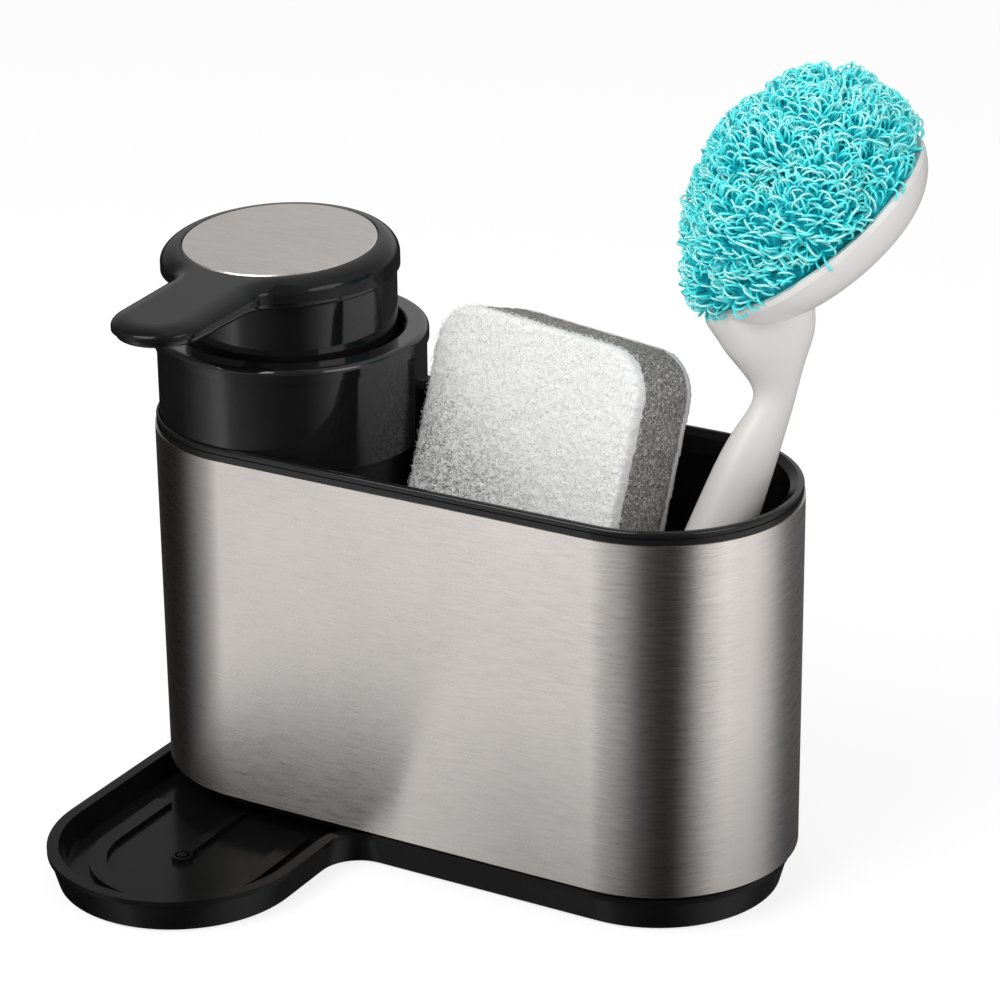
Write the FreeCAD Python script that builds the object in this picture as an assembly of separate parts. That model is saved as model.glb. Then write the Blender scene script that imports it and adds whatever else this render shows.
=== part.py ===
import FreeCAD, Part
import math
import os

# Soap pump caddy: a drip tray, a steel-sleeved caddy, a soap bottle with a press pump, a sponge
# and a dish brush. Millimetres. The origin is on the pump's axis at counter level. +X runs along
# the long side towards the brush, the spout points to -Y and +Z is up.

Vec = FreeCAD.Vector

# Body plan: two end arcs joined by straight sides
end_spacing = 117.9
sleeve_radius = 40.0
sleeve_wall = 0.7
sleeve_height = 104.2

# Clearances
fit_gap = 0.2
seat_gap = 0.3
run_gap = 0.05
bottle_gap = 0.8

# Drip tray
tray_clearance = 0.6
underside_depth = 1.2
foot_recess = 0.8
foot_width = 6.0
foot_inset = 9.6
foot_pad_radius = 8.0
foot_sweep_angle = 50.0
foot_lobe_right_angle = -62.0
foot_lobe_left_angle = -152.0
foot_back_left_angle = 125.0
foot_front_right_angle = -55.0
foot_back_right_angle = 55.0
tray_height = 10.1
skirt_wall = 3.2
tray_setback = 1.9
tray_taper = 2.8
tray_lip_height = 1.6
tray_lip_overhang = 0.5
tray_rim_width = 3.3
tray_floor = 2.2
tray_inner_draft = 2.0
lobe_reach = 65.6
lobe_corner = 9.0
ridge_width = 5.0
ridge_height = 1.4
ridge_radius = 24.0
ridge_leg = 26.0
rib_width = 3.0
rib_length = 30.0
boss_radius = 3.0
boss_ring = 0.8
rest_height = 2.2
rest_width = 4.0

# Plinth ring, between the tray and the sleeve
shadow_gap = 1.8
plinth_setback = 1.6
plinth_flange = 1.2
plinth_plug_gap = 0.8
plinth_wall = 4.5
plinth_tongue = 2.0

# Tub inside the sleeve
liner_wall = 2.0
liner_seat_drop = 3.0
well_floor_rise = 2.2
well_wall = 1.5
floor_wall = 2.0
sponge_floor_rise = 33.2
drain_width = 4.0
drain_length = 34.0
drain_pitch = 14.0

# Rim ring
rim_height = 3.7
rim_setback = 0.4
rim_width = 4.3
rim_groove_depth = 0.4
rim_groove_height = 0.4
rim_bead_height = 1.6
rim_bead_round = 0.9
rim_funnel_width = 2.3
rim_funnel_drop = 1.5
rim_seat_gap = 0.4
rim_skirt_start = 20.0

# Bottle
bottle_inset = 3.6
bottle_wall = 1.8
bottle_base_round = 4.0
shoulder_setback = 1.5
shoulder_height = 26.8
mouth_wall = 1.9
mouth_depth = 11.8
mouth_ledge = 2.0
throat_rise = 4.0

# Screw collar and pump cup
collar_setback = 0.8
collar_height = 4.1
collar_width = 6.6
collar_round = 1.8
collar_lip_round = 0.6
collar_cup_room = 1.1
thread_wall = 1.7
cup_wall = 1.8
cup_floor = 2.0
cup_depth = 23.0
cup_flange = 1.5
gasket_height = 1.0

# Pump
stroke = 14.0
barrel_radius = 9.0
barrel_wall = 2.0
barrel_length = 40.0
barrel_flange = 3.0
barrel_flange_height = 1.2
ball_radius = 2.6
ball_room = 0.6
inlet_radius = 1.7
spigot_wall = 1.9
spigot_length = 10.0
dip_wall = 0.9
dip_overlap = 8.0
dip_clearance = 1.0
dip_slant = 2.0
guide_height = 4.8
guide_wall = 2.0
piston_height = 8.0
piston_step = 2.0
stem_radius = 4.5
stem_bore = 2.0
spring_wire = 0.65
spring_turns = 6
spring_sides = 8
spring_side_gap = 1.7

# Pump head
skirt_gap = 2.2
skirt_wall = 1.6
skirt_overlap = 6.0
disc_overhang = 3.4
disc_offset = 4.6
head_tip_drop = 4.55
head_press_gap = 2.9
head_pan_height = 2.0
head_wall_height = 2.8
head_round_height = 4.7
head_cap_wall = 1.0
head_round_width = 5.7
head_round_steps = 4
head_wall_drop = 1.9
head_cavity_inset = 3.2
head_base_inset = 1.2
head_base_round = 0.9
head_base_floor = 1.2
tongue_half_width = 13.5
tongue_reach = 63.5
tongue_blend = 9.0
plate_margin = 6.1
plate_height = 1.2
plate_proud = 0.2
plate_edge = 0.4
socket_wall = 2.4
socket_length = 16.0
channel_radius = 1.0
channel_wall = 0.6
channel_block = 3.4
nozzle_radius = 2.5
nozzle_drop = 2.4
nozzle_setback = 1.5

# Sponge
sponge_width = 74.5
sponge_height = 108.0
sponge_corner = 13.0
scour_thickness = 4.5
foam_thickness = 18.0
sheet_thickness = 2.1
scour_round = 1.6
sponge_yaw = -13.0
sponge_lean = 17.5
sponge_inset = 2.7
sponge_y = -19.3

# Dish brush, drawn in its own upright plane with its origin on the handle at rim level
brush_yaw = 37.6
brush_lean = 11.6
brush_end_gap = 20.1
brush_y = 4.0
brush_z = 116.1
dish_radius = 35.9
dish_depth = 12.6
dish_wall = 2.0
dish_lip = 1.6
dish_flat = 18.0
dish_bend_radius = 32.4
dish_bend_depth = 7.4
dish_tilt = 39.1
dish_facing = 4.8
dish_x = 24.6
dish_z = 74.6
ball_half_width = 38.5
ball_half_height = 31.0
ball_side_round = 27.0
ball_rise = 6.3
ball_shift = 0.5
plug_radius = 4.0
plug_length = 14.0
handle_flatness = 0.86

# Sections of the brush handle from its foot up: x, height, slope in degrees and half width
handle_foot = (-21.0, -70.3, -8.0, 4.5)
handle_heel = (-20.7, -67.8, -8.0, 7.0)
handle_calf = (-16.5, -48.0, -14.0, 8.8)
handle_grip = (-9.0, -22.0, -21.0, 9.2)
handle_hip = (-0.6, -2.2, -25.0, 8.6)
handle_taper = (8.6, 18.2, -20.0, 6.6)
handle_waist = (12.8, 28.6, -6.0, 5.9)
handle_throat = (12.1, 35.6, 0.0, 8.7)
handle_flare = (11.2, 41.0, 2.0, 11.6)
handle_fan = (10.5, 46.6, 6.0, 13.8)
handle_root = (13.6, 58.0, 31.0, 13.6)

# Heights of the seats, from the counter up
tray_bottom_z = tray_clearance
underside_z = tray_bottom_z + underside_depth
tray_rim_z = tray_bottom_z + tray_height
tray_floor_z = underside_z + tray_floor
sleeve_bottom_z = tray_rim_z + shadow_gap
sleeve_top_z = sleeve_bottom_z + sleeve_height
rim_top_z = sleeve_top_z + rim_height
liner_top_z = sleeve_top_z - liner_seat_drop
well_floor_z = sleeve_bottom_z + well_floor_rise + floor_wall
sponge_floor_z = sleeve_bottom_z + sponge_floor_rise
shoulder_z = liner_top_z + seat_gap
mouth_z = shoulder_z + shoulder_height
ledge_z = mouth_z - mouth_depth
flange_z = ledge_z + gasket_height
collar_bottom_z = mouth_z + fit_gap
collar_top_z = collar_bottom_z + collar_height
cup_top_z = collar_bottom_z + collar_cup_room - fit_gap
cup_floor_z = collar_top_z - cup_depth
barrel_top_z = cup_floor_z + barrel_flange_height
guide_top_z = barrel_top_z + guide_height
barrel_floor_z = cup_floor_z - barrel_length
inlet_z = barrel_floor_z - 2.0 * ball_radius - ball_room
skirt_bottom_z = collar_top_z - skirt_overlap
head_bottom_z = collar_top_z + stroke + head_press_gap
head_seam_z = head_bottom_z + head_pan_height
head_wall_top_z = head_seam_z + head_wall_height
head_top_z = head_wall_top_z + head_round_height

# Radii that follow from the fits
liner_radius = sleeve_radius - sleeve_wall - fit_gap
liner_inner = liner_radius - liner_wall
tray_radius = sleeve_radius - tray_setback
bottle_radius = liner_inner - bottle_inset
shoulder_radius = sleeve_radius - shoulder_setback
collar_radius = sleeve_radius - collar_setback
collar_bore = collar_radius - collar_width
skirt_radius = collar_bore - skirt_gap
disc_radius = skirt_radius + disc_overhang
plate_radius = disc_radius - plate_margin
well_radius = bottle_radius + bottle_gap
well_outer = well_radius + well_wall
rim_radius = sleeve_radius - rim_setback
rim_inner = sleeve_radius - rim_width
rim_seat_radius = shoulder_radius + rim_seat_gap
mouth_radius = shoulder_radius - mouth_wall
ledge_radius = mouth_radius - mouth_ledge
thread_radius = mouth_radius - seat_gap
cup_inner = collar_bore - fit_gap
cup_outer = cup_inner + cup_wall
barrel_outer = barrel_radius + barrel_wall
spigot_radius = inlet_radius + spigot_wall
dip_bore = spigot_radius + run_gap
dip_outer = dip_bore + dip_wall

# The head's slopes, from the fall between the disc's middle and the tongue's tip
tongue_tip = tongue_reach + tongue_half_width - disc_offset
head_tilt = math.degrees(math.atan(head_tip_drop / tongue_tip))
head_wall_tilt = math.degrees(math.atan(head_wall_drop / tongue_tip))

# The sponge stands beside the bottle's shoulder, and the brush leans in the tub's far end
sponge_x = shoulder_radius - sponge_inset
brush_x = end_spacing + sleeve_radius - brush_end_gap


def cylinder(radius, low, high, x=0.0, y=0.0):
    return Part.makeCylinder(radius, high - low, Vec(x, y, low))


def tube(outer, inner, low, high, x=0.0, y=0.0):
    return cylinder(outer, low, high, x, y).cut(cylinder(inner, low, high, x, y))


def block(low, high):
    return Part.makeBox(high[0] - low[0], high[1] - low[1], high[2] - low[2], Vec(*low))


def joined(shapes):
    return shapes[0].multiFuse(shapes[1:]).removeSplitter()


def line(start, end):
    return Part.LineSegment(start, end).toShape()


def arc(start, middle, end):
    return Part.Arc(start, middle, end).toShape()


def stadium_wire(radius, z):
    """Outline of the body plan at a height, for any radius of its end arcs."""
    back_left = Vec(0, radius, z)
    front_left = Vec(0, -radius, z)
    front_right = Vec(end_spacing, -radius, z)
    back_right = Vec(end_spacing, radius, z)
    left_end = arc(back_left, Vec(-radius, 0, z), front_left)
    right_end = arc(front_right, Vec(end_spacing + radius, 0, z), back_right)
    return Part.Wire([left_end, line(front_left, front_right), right_end, line(back_right, back_left)])


def stadium(radius, low, high):
    return Part.Face(stadium_wire(radius, low)).extrude(Vec(0, 0, high - low))


def stadium_ring(outer, inner, low, high):
    return stadium(outer, low, high).cut(stadium(inner, low, high))


def stadium_funnel(low_radius, low, high_radius, high):
    return Part.makeLoft([stadium_wire(low_radius, low), stadium_wire(high_radius, high)], True, True)


def revolved(points):
    """Solid of revolution about the Z axis from a closed profile of (radius, height) points and arcs.

    A point given as a pair of pairs is an arc: its middle and its end."""
    edges = []
    here = Vec(points[0][0], 0, points[0][1])
    first = here
    for item in points[1:]:
        if isinstance(item[0], tuple):
            middle = Vec(item[0][0], 0, item[0][1])
            end = Vec(item[1][0], 0, item[1][1])
            edges.append(arc(here, middle, end))
        else:
            end = Vec(item[0], 0, item[1])
            edges.append(line(here, end))
        here = end
    if here.distanceToPoint(first) > 1e-6:
        edges.append(line(here, first))
    return Part.Face(Part.Wire(edges)).revolve(Vec(0, 0, 0), Vec(0, 0, 1), 360)


def corner_arc(centre_x, centre_z, radius, start_angle, end_angle):
    """Middle and end of an arc in a profile, from its centre and its angles in degrees."""
    middle_angle = math.radians((start_angle + end_angle) / 2.0)
    last_angle = math.radians(end_angle)
    middle = (centre_x + radius * math.cos(middle_angle), centre_z + radius * math.sin(middle_angle))
    end = (centre_x + radius * math.cos(last_angle), centre_z + radius * math.sin(last_angle))
    return (middle, end)


def edges_near(shape, low, high):
    """Edges whose middle point lies between two corners."""
    found = []
    for edge in shape.Edges:
        box = edge.BoundBox
        middle = box.Center
        inside_x = low[0] <= middle.x <= high[0]
        inside_y = low[1] <= middle.y <= high[1]
        inside_z = low[2] <= box.ZMin and box.ZMax <= high[2]
        if inside_x and inside_y and inside_z:
            found.append(edge)
    return found


def edges_at_height(shape, z, tolerance=0.01):
    reach = 1000.0
    return edges_near(shape, (-reach, -reach, z - tolerance), (reach, reach, z + tolerance))


def leaned(shape, yaw, lean, x, y, z):
    """Turn a piece about Z after leaning it backwards about its own X axis, then move it to its place."""
    turn = FreeCAD.Rotation(Vec(0, 0, 1), yaw)
    tip = FreeCAD.Rotation(Vec(1, 0, 0), -lean)
    placed = shape.copy()
    placed.Placement = FreeCAD.Placement(Vec(x, y, z), turn.multiply(tip)).multiply(placed.Placement)
    return placed


# Drip tray
def tray_wire(inset, z):
    """Outline of the tray: the body plan with a round lobe under the spout, set in by a distance."""
    r = tray_radius - inset
    corner = lobe_corner + inset
    corner_x = tray_radius + lobe_corner
    lobe_y = -lobe_reach
    diagonal = corner * math.sqrt(0.5)
    left_back = Vec(-r, 0, z)
    left_front = Vec(-r, lobe_y, z)
    right_front = Vec(r, lobe_y, z)
    right_corner = Vec(r, -corner_x, z)
    corner_end = Vec(corner_x, -r, z)
    side_end = Vec(end_spacing, -r, z)
    back_right = Vec(end_spacing, r, z)
    back_left = Vec(0, r, z)
    corner_middle = Vec(corner_x - diagonal, -corner_x + diagonal, z)
    end_middle = Vec(-r * math.sqrt(0.5), r * math.sqrt(0.5), z)
    return Part.Wire([
        line(left_back, left_front),
        arc(left_front, Vec(0, lobe_y - r, z), right_front),
        line(right_front, right_corner),
        arc(right_corner, corner_middle, corner_end),
        line(corner_end, side_end),
        arc(side_end, Vec(end_spacing + r, 0, z), back_right),
        line(back_right, back_left),
        arc(back_left, end_middle, left_back),
    ])


def tray_prism(inset, low, high):
    return Part.Face(tray_wire(inset, low)).extrude(Vec(0, 0, high - low))


def tray_loft(low_inset, low, high_inset, high):
    return Part.makeLoft([tray_wire(low_inset, low), tray_wire(high_inset, high)], True, True)


def foot_sector(centre_x, centre_y, angle, low, high, grow):
    """One arc-shaped pad, concentric with the end of the tray it stands under."""
    middle = tray_radius - foot_inset
    outer = middle + foot_width / 2.0 + grow
    inner = middle - foot_width / 2.0 - grow
    sweep = foot_sweep_angle + 2.0 * math.degrees(grow / middle)
    sector = Part.makeCylinder(outer, high - low, Vec(0, 0, low), Vec(0, 0, 1), sweep)
    sector = sector.cut(cylinder(inner, low, high))
    sector.rotate(Vec(0, 0, 0), Vec(0, 0, 1), angle - sweep / 2.0)
    sector.translate(Vec(centre_x, centre_y, 0))
    return sector


def feet(low, high, grow=0.0):
    lobe_right = foot_sector(0, -lobe_reach, foot_lobe_right_angle, low, high, grow)
    lobe_left = foot_sector(0, -lobe_reach, foot_lobe_left_angle, low, high, grow)
    back_left = foot_sector(0, 0, foot_back_left_angle, low, high, grow)
    front_right = foot_sector(end_spacing, 0, foot_front_right_angle, low, high, grow)
    back_right = foot_sector(end_spacing, 0, foot_back_right_angle, low, high, grow)
    pump_pad = cylinder(foot_pad_radius + grow, low, high)
    return [lobe_right, lobe_left, back_left, front_right, back_right, pump_pad]


def make_rubber_feet():
    return Part.makeCompound(feet(0.0, underside_z + foot_recess))


def tray_ridge():
    """Raised arch on the lobe's floor, with its open end towards the body."""
    top = tray_floor_z + ridge_height
    half = ridge_width / 2.0
    ring = tube(ridge_radius + half, ridge_radius - half, tray_floor_z, top, 0, -lobe_reach)
    front = block((-ridge_radius - half, -lobe_reach - ridge_radius - half, tray_floor_z),
                  (ridge_radius + half, -lobe_reach, top))
    pieces = [ring.common(front)]
    for side in (-1, 1):
        centre_x = side * ridge_radius
        pieces.append(block((centre_x - half, -lobe_reach, tray_floor_z),
                            (centre_x + half, -lobe_reach + ridge_leg, top)))
    return joined(pieces)


def tray_rib():
    """Straight rib along the lobe that ends in a ringed boss under the nozzle."""
    top = tray_floor_z + ridge_height
    rib = block((-rib_width / 2.0, -lobe_reach, tray_floor_z),
                (rib_width / 2.0, -lobe_reach + rib_length, top))
    boss = cylinder(boss_radius, tray_floor_z, top, 0, -lobe_reach)
    groove = tube(boss_radius - boss_ring, boss_radius - 2.0 * boss_ring, tray_floor_z, top, 0, -lobe_reach)
    return joined([rib, boss]).cut(groove)


def tray_rest():
    """Ledge that carries the plinth ring, left out across the lobe so that water runs through."""
    outer = tray_radius - tray_rim_width - plinth_plug_gap
    ledge = stadium_ring(outer, outer - rest_width, tray_floor_z, tray_floor_z + rest_height)
    passage = block((-tray_radius, -tray_radius, tray_floor_z), (tray_radius, 0, tray_floor_z + rest_height))
    return ledge.cut(passage)


def make_base_tray():
    lip_z = tray_rim_z - tray_lip_height
    skirt = tray_loft(tray_taper, tray_bottom_z, tray_lip_overhang, lip_z)
    lip = tray_prism(0.0, lip_z, tray_rim_z)
    hollow = tray_loft(tray_rim_width + tray_inner_draft, tray_floor_z, tray_rim_width, tray_rim_z)
    shell = skirt.fuse(lip).cut(hollow)
    shell = shell.cut(tray_prism(tray_taper + skirt_wall, 0.0, underside_z))
    shell = shell.cut(Part.makeCompound(feet(0.0, underside_z + foot_recess, run_gap)))
    features = [piece.common(hollow) for piece in (tray_ridge(), tray_rib(), tray_rest())]
    return joined([shell] + features)


# Caddy body
def make_steel_sleeve():
    return stadium_ring(sleeve_radius, sleeve_radius - sleeve_wall, sleeve_bottom_z, sleeve_top_z)


def make_plinth_ring():
    rest_z = tray_floor_z + rest_height
    plug = tray_radius - tray_rim_width - tray_inner_draft - plinth_plug_gap
    bore = plug - plinth_wall
    flange_low = sleeve_bottom_z - plinth_flange
    flange = stadium_ring(sleeve_radius - plinth_setback, bore, flange_low, sleeve_bottom_z)
    wall = stadium_ring(plug, bore, rest_z, flange_low)
    tongue_outer = liner_inner - fit_gap
    tongue = stadium_ring(tongue_outer, bore, sleeve_bottom_z, sleeve_bottom_z + plinth_tongue)
    return joined([wall, flange, tongue])


def drain_slot(x):
    straight = drain_length - drain_width
    half = drain_width / 2.0
    low = sponge_floor_z - floor_wall
    bar = block((x - half, -straight / 2.0, low), (x + half, straight / 2.0, sponge_floor_z))
    ends = [cylinder(half, low, sponge_floor_z, x, side * straight / 2.0) for side in (-1, 1)]
    return joined([bar] + ends)


def make_liner():
    walls = stadium_ring(liner_radius, liner_inner, sleeve_bottom_z, liner_top_z)
    inside = stadium(liner_inner, sleeve_bottom_z, liner_top_z)
    reach = sleeve_radius + end_spacing
    right_side = block((0, -reach, sleeve_bottom_z), (reach, reach, liner_top_z))
    left_side = block((-reach, -reach, sleeve_bottom_z), (0, reach, liner_top_z))
    well_low = well_floor_z - floor_wall
    partition = tube(well_outer, well_radius, well_low, liner_top_z).common(right_side)
    webs = []
    for side in (-1, 1):
        near = min(side * well_radius, side * liner_inner)
        far = max(side * well_radius, side * liner_inner)
        webs.append(block((0, near, well_low), (well_wall, far, liner_top_z)).common(inside))
    well_floor = cylinder(liner_inner, well_low, well_floor_z).common(left_side)
    well_floor = well_floor.fuse(cylinder(well_outer, well_low, well_floor_z).common(right_side))
    sponge_floor = inside.common(right_side).common(
        block((0, -reach, sponge_floor_z - floor_wall), (reach, reach, sponge_floor_z)))
    sponge_floor = sponge_floor.cut(cylinder(well_radius, sponge_floor_z - floor_wall, sponge_floor_z))
    first = well_outer + drain_pitch
    count = int((end_spacing + liner_inner / 2.0 - first) / drain_pitch) + 1
    slots = [drain_slot(first + index * drain_pitch) for index in range(count)]
    sponge_floor = sponge_floor.cut(Part.makeCompound(slots))
    return joined([walls, partition, well_floor, sponge_floor] + webs)


def make_rim_ring():
    bead_z = rim_top_z - rim_bead_height
    lower = stadium(rim_radius, sleeve_top_z, bead_z - rim_groove_height)
    groove = stadium(rim_radius - rim_groove_depth, bead_z - rim_groove_height, bead_z)
    bead = stadium(rim_radius, bead_z, rim_top_z)
    bead = bead.makeFillet(rim_bead_round, edges_at_height(bead, rim_top_z))
    skirt = stadium(liner_radius, liner_top_z, sleeve_top_z)
    reach = sleeve_radius + end_spacing
    skirt = skirt.cut(block((-reach, -reach, liner_top_z), (rim_skirt_start, reach, sleeve_top_z)))
    ring = joined([lower, groove, bead]).fuse(skirt)
    ring = ring.cut(stadium(rim_inner, liner_top_z, rim_top_z))
    funnel_z = rim_top_z - rim_funnel_drop
    ring = ring.cut(stadium_funnel(rim_inner, funnel_z, rim_inner + rim_funnel_width, rim_top_z))
    return ring.cut(cylinder(rim_seat_radius, liner_top_z, rim_top_z))


# Bottle and its closure
def make_bottle():
    base_z = well_floor_z
    inner = bottle_radius - bottle_wall
    floor_z = base_z + bottle_wall
    throat_z = shoulder_z + bottle_wall
    turn = bottle_base_round
    base_round = corner_arc(bottle_radius - turn, base_z + turn, turn, -90, 0)
    return revolved([
        (0, base_z),
        (bottle_radius - bottle_base_round, base_z),
        base_round,
        (bottle_radius, shoulder_z),
        (shoulder_radius, shoulder_z),
        (shoulder_radius, mouth_z),
        (mouth_radius, mouth_z),
        (mouth_radius, ledge_z),
        (ledge_radius, ledge_z),
        (ledge_radius, throat_z + throat_rise),
        (inner, throat_z),
        (inner, floor_z),
        (0, floor_z),
    ])


def make_screw_collar():
    thread_low = flange_z + cup_flange + fit_gap
    thread_inner = thread_radius - thread_wall
    room_z = collar_bottom_z + collar_cup_room
    turn = collar_lip_round
    lip = corner_arc(collar_bore + turn, collar_top_z - turn, turn, 180, 90)
    edge = corner_arc(collar_radius - collar_round, collar_top_z - collar_round, collar_round, 90, 0)
    return revolved([
        (collar_bore, room_z),
        (collar_bore, collar_top_z - collar_lip_round),
        lip,
        (collar_radius - collar_round, collar_top_z),
        edge,
        (collar_radius, collar_bottom_z),
        (thread_radius, collar_bottom_z),
        (thread_radius, thread_low),
        (thread_inner, thread_low),
        (thread_inner, room_z),
    ])


def make_pump_cup():
    hole = barrel_outer + run_gap
    low = cup_floor_z - cup_floor
    return revolved([
        (hole, low),
        (cup_outer, low),
        (cup_outer, flange_z),
        (thread_radius, flange_z),
        (thread_radius, flange_z + cup_flange),
        (cup_outer, flange_z + cup_flange),
        (cup_outer, cup_top_z),
        (cup_inner, cup_top_z),
        (cup_inner, cup_floor_z),
        (hole, cup_floor_z),
    ])


def make_cup_gasket():
    return tube(thread_radius, ledge_radius + fit_gap, ledge_z, flange_z)


# Pump
def make_pump_cylinder():
    chamber = ball_radius + ball_room
    spigot_end = inlet_z - spigot_length
    shell = chamber + barrel_wall
    return revolved([
        (inlet_radius, spigot_end),
        (spigot_radius, spigot_end),
        (spigot_radius, inlet_z - barrel_wall),
        (shell, inlet_z - barrel_wall),
        (shell, barrel_floor_z - barrel_wall),
        (barrel_outer, barrel_floor_z + barrel_wall),
        (barrel_outer, cup_floor_z),
        (barrel_outer + barrel_flange, cup_floor_z),
        (barrel_outer + barrel_flange, barrel_top_z),
        (barrel_radius, barrel_top_z),
        (barrel_radius, barrel_floor_z),
        (chamber, barrel_floor_z),
        (chamber, inlet_z),
        (inlet_radius, inlet_z),
    ])


def piston_top():
    return barrel_floor_z + spring_length() + piston_height


def spring_length():
    """Room for the spring at rest: the stroke, its closed turns and one wire to spare."""
    return stroke + 2.0 * spring_wire * (spring_turns + 2)


def make_cylinder_cap():
    bore = stem_radius + run_gap
    inner = bore + guide_wall
    outer = barrel_outer + barrel_flange
    stop_z = piston_top() + fit_gap
    top_low = guide_top_z - guide_wall
    return revolved([
        (bore, stop_z),
        (inner, stop_z),
        (inner, top_low),
        (outer - guide_wall, top_low),
        (outer - guide_wall, barrel_top_z),
        (outer, barrel_top_z),
        (outer, guide_top_z),
        (bore, guide_top_z),
    ])


def spring_point(turn, mean_radius, low, pitch):
    angle = 2.0 * math.pi * turn
    return Vec(mean_radius * math.cos(angle), mean_radius * math.sin(angle), low + pitch * turn)


def spring_tangent(turn, mean_radius, pitch):
    angle = 2.0 * math.pi * turn
    direction = Vec(-mean_radius * math.sin(angle), mean_radius * math.cos(angle), pitch / (2.0 * math.pi))
    return direction.normalize()


def biarc(start, start_tangent, end, end_tangent):
    """Two arcs that leave a point along one tangent and arrive at another along a second one."""
    across = end - start
    both = start_tangent + end_tangent
    a = 2.0 * (1.0 - start_tangent.dot(end_tangent))
    b = 2.0 * across.dot(both)
    c = -across.dot(across)
    reach = (-b + math.sqrt(b * b - 4.0 * a * c)) / (2.0 * a)
    join = (start + start_tangent * reach + end - end_tangent * reach) * 0.5
    first = Part.ArcOfCircle(start, arc_middle(start, start_tangent, join), join)
    second = Part.ArcOfCircle(join, arc_middle(end, end_tangent * -1.0, join), end)
    return [first, second]


def arc_middle(start, tangent, end):
    """Middle of the arc that leaves one point along a tangent and ends at another."""
    chord = end - start
    along = Vec(chord)
    along.normalize()
    cosine = tangent.dot(along)
    side = tangent - along * cosine
    side.normalize()
    angle = math.acos(max(-1.0, min(1.0, cosine)))
    return start + chord * 0.5 + side * (chord.Length / 2.0 * math.tan(angle / 2.0))


def wire_section(centre, tangent):
    """Outline of the spring's wire, with few sides because the spring is out of sight."""
    out = Vec(1, 0, 0)
    up = tangent.cross(out)
    points = []
    for side in range(spring_sides + 1):
        angle = 2.0 * math.pi * side / spring_sides
        points.append(centre + (out * math.cos(angle) + up * math.sin(angle)) * spring_wire)
    return Part.makePolygon(points)


def make_return_spring():
    """Wire carried along the arcs of its turns, with each stretch turned about its own arc's axis."""
    mean_radius = barrel_radius - spring_side_gap - spring_wire
    low = barrel_floor_z + spring_wire
    high = low + spring_length() - 2.0 * spring_wire
    pitch = (high - low) / spring_turns
    section = wire_section(spring_point(0, mean_radius, low, pitch), spring_tangent(0, mean_radius, pitch))
    faces = [Part.Face(section)]
    line_points = []
    for step in range(2 * spring_turns):
        start = step / 2.0
        end = (step + 1) / 2.0
        start_point = spring_point(start, mean_radius, low, pitch)
        end_point = spring_point(end, mean_radius, low, pitch)
        start_tangent = spring_tangent(start, mean_radius, pitch)
        end_tangent = spring_tangent(end, mean_radius, pitch)
        for bend in biarc(start_point, start_tangent, end_point, end_tangent):
            turn = math.degrees(bend.LastParameter - bend.FirstParameter)
            faces += section.revolve(bend.Center, bend.Axis, turn).Faces
            section = section.copy()
            section.rotate(bend.Center, bend.Axis, turn)
            line_points += bend.discretize(8)
    faces.append(Part.Face(section))
    shell = Part.Shell(faces)
    shell.sewShape()
    print("spring: least gap between its turns", round(least_gap(line_points, mean_radius), 2), "mm")
    return Part.Solid(shell)


def least_gap(line_points, mean_radius):
    """Smallest distance between stretches of the wire that are a third of a turn apart or more."""
    nearest = mean_radius
    for index, point in enumerate(line_points):
        for other in line_points[index + 12:]:
            nearest = min(nearest, point.distanceToPoint(other))
    return nearest - 2.0 * spring_wire


def make_inlet_ball():
    centre_z = inlet_z + math.sqrt(ball_radius ** 2 - inlet_radius ** 2) + run_gap
    return Part.makeSphere(ball_radius, Vec(0, 0, centre_z))


def make_dip_tube():
    low = well_floor_z + bottle_wall + dip_clearance
    high = inlet_z - spigot_length + dip_overlap
    pipe = tube(dip_outer, dip_bore, low, high)
    wedge = Part.makePolygon([
        Vec(-dip_outer, -dip_outer, low),
        Vec(dip_outer, -dip_outer, low),
        Vec(dip_outer, -dip_outer, low + dip_slant),
        Vec(-dip_outer, -dip_outer, low),
    ])
    return pipe.cut(Part.Face(wedge).extrude(Vec(0, 2.0 * dip_outer, 0)))


def make_piston():
    top = piston_top()
    low = top - piston_height
    outer = barrel_radius - run_gap
    waist = outer - guide_wall / 2.0
    seat = low + piston_step
    socket = stem_radius + run_gap
    return revolved([
        (stem_bore, low),
        (outer, low),
        (outer, low + piston_step),
        (waist, low + piston_step),
        (waist, top - piston_step),
        (outer, top - piston_step),
        (outer, top),
        (socket, top),
        (socket, seat),
        (stem_bore, seat),
    ])


def make_stem():
    low = piston_top() - piston_height + piston_step
    high = head_bottom_z + head_base_floor - channel_wall * 2.0
    return tube(stem_radius, stem_bore, low, high)


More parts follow.
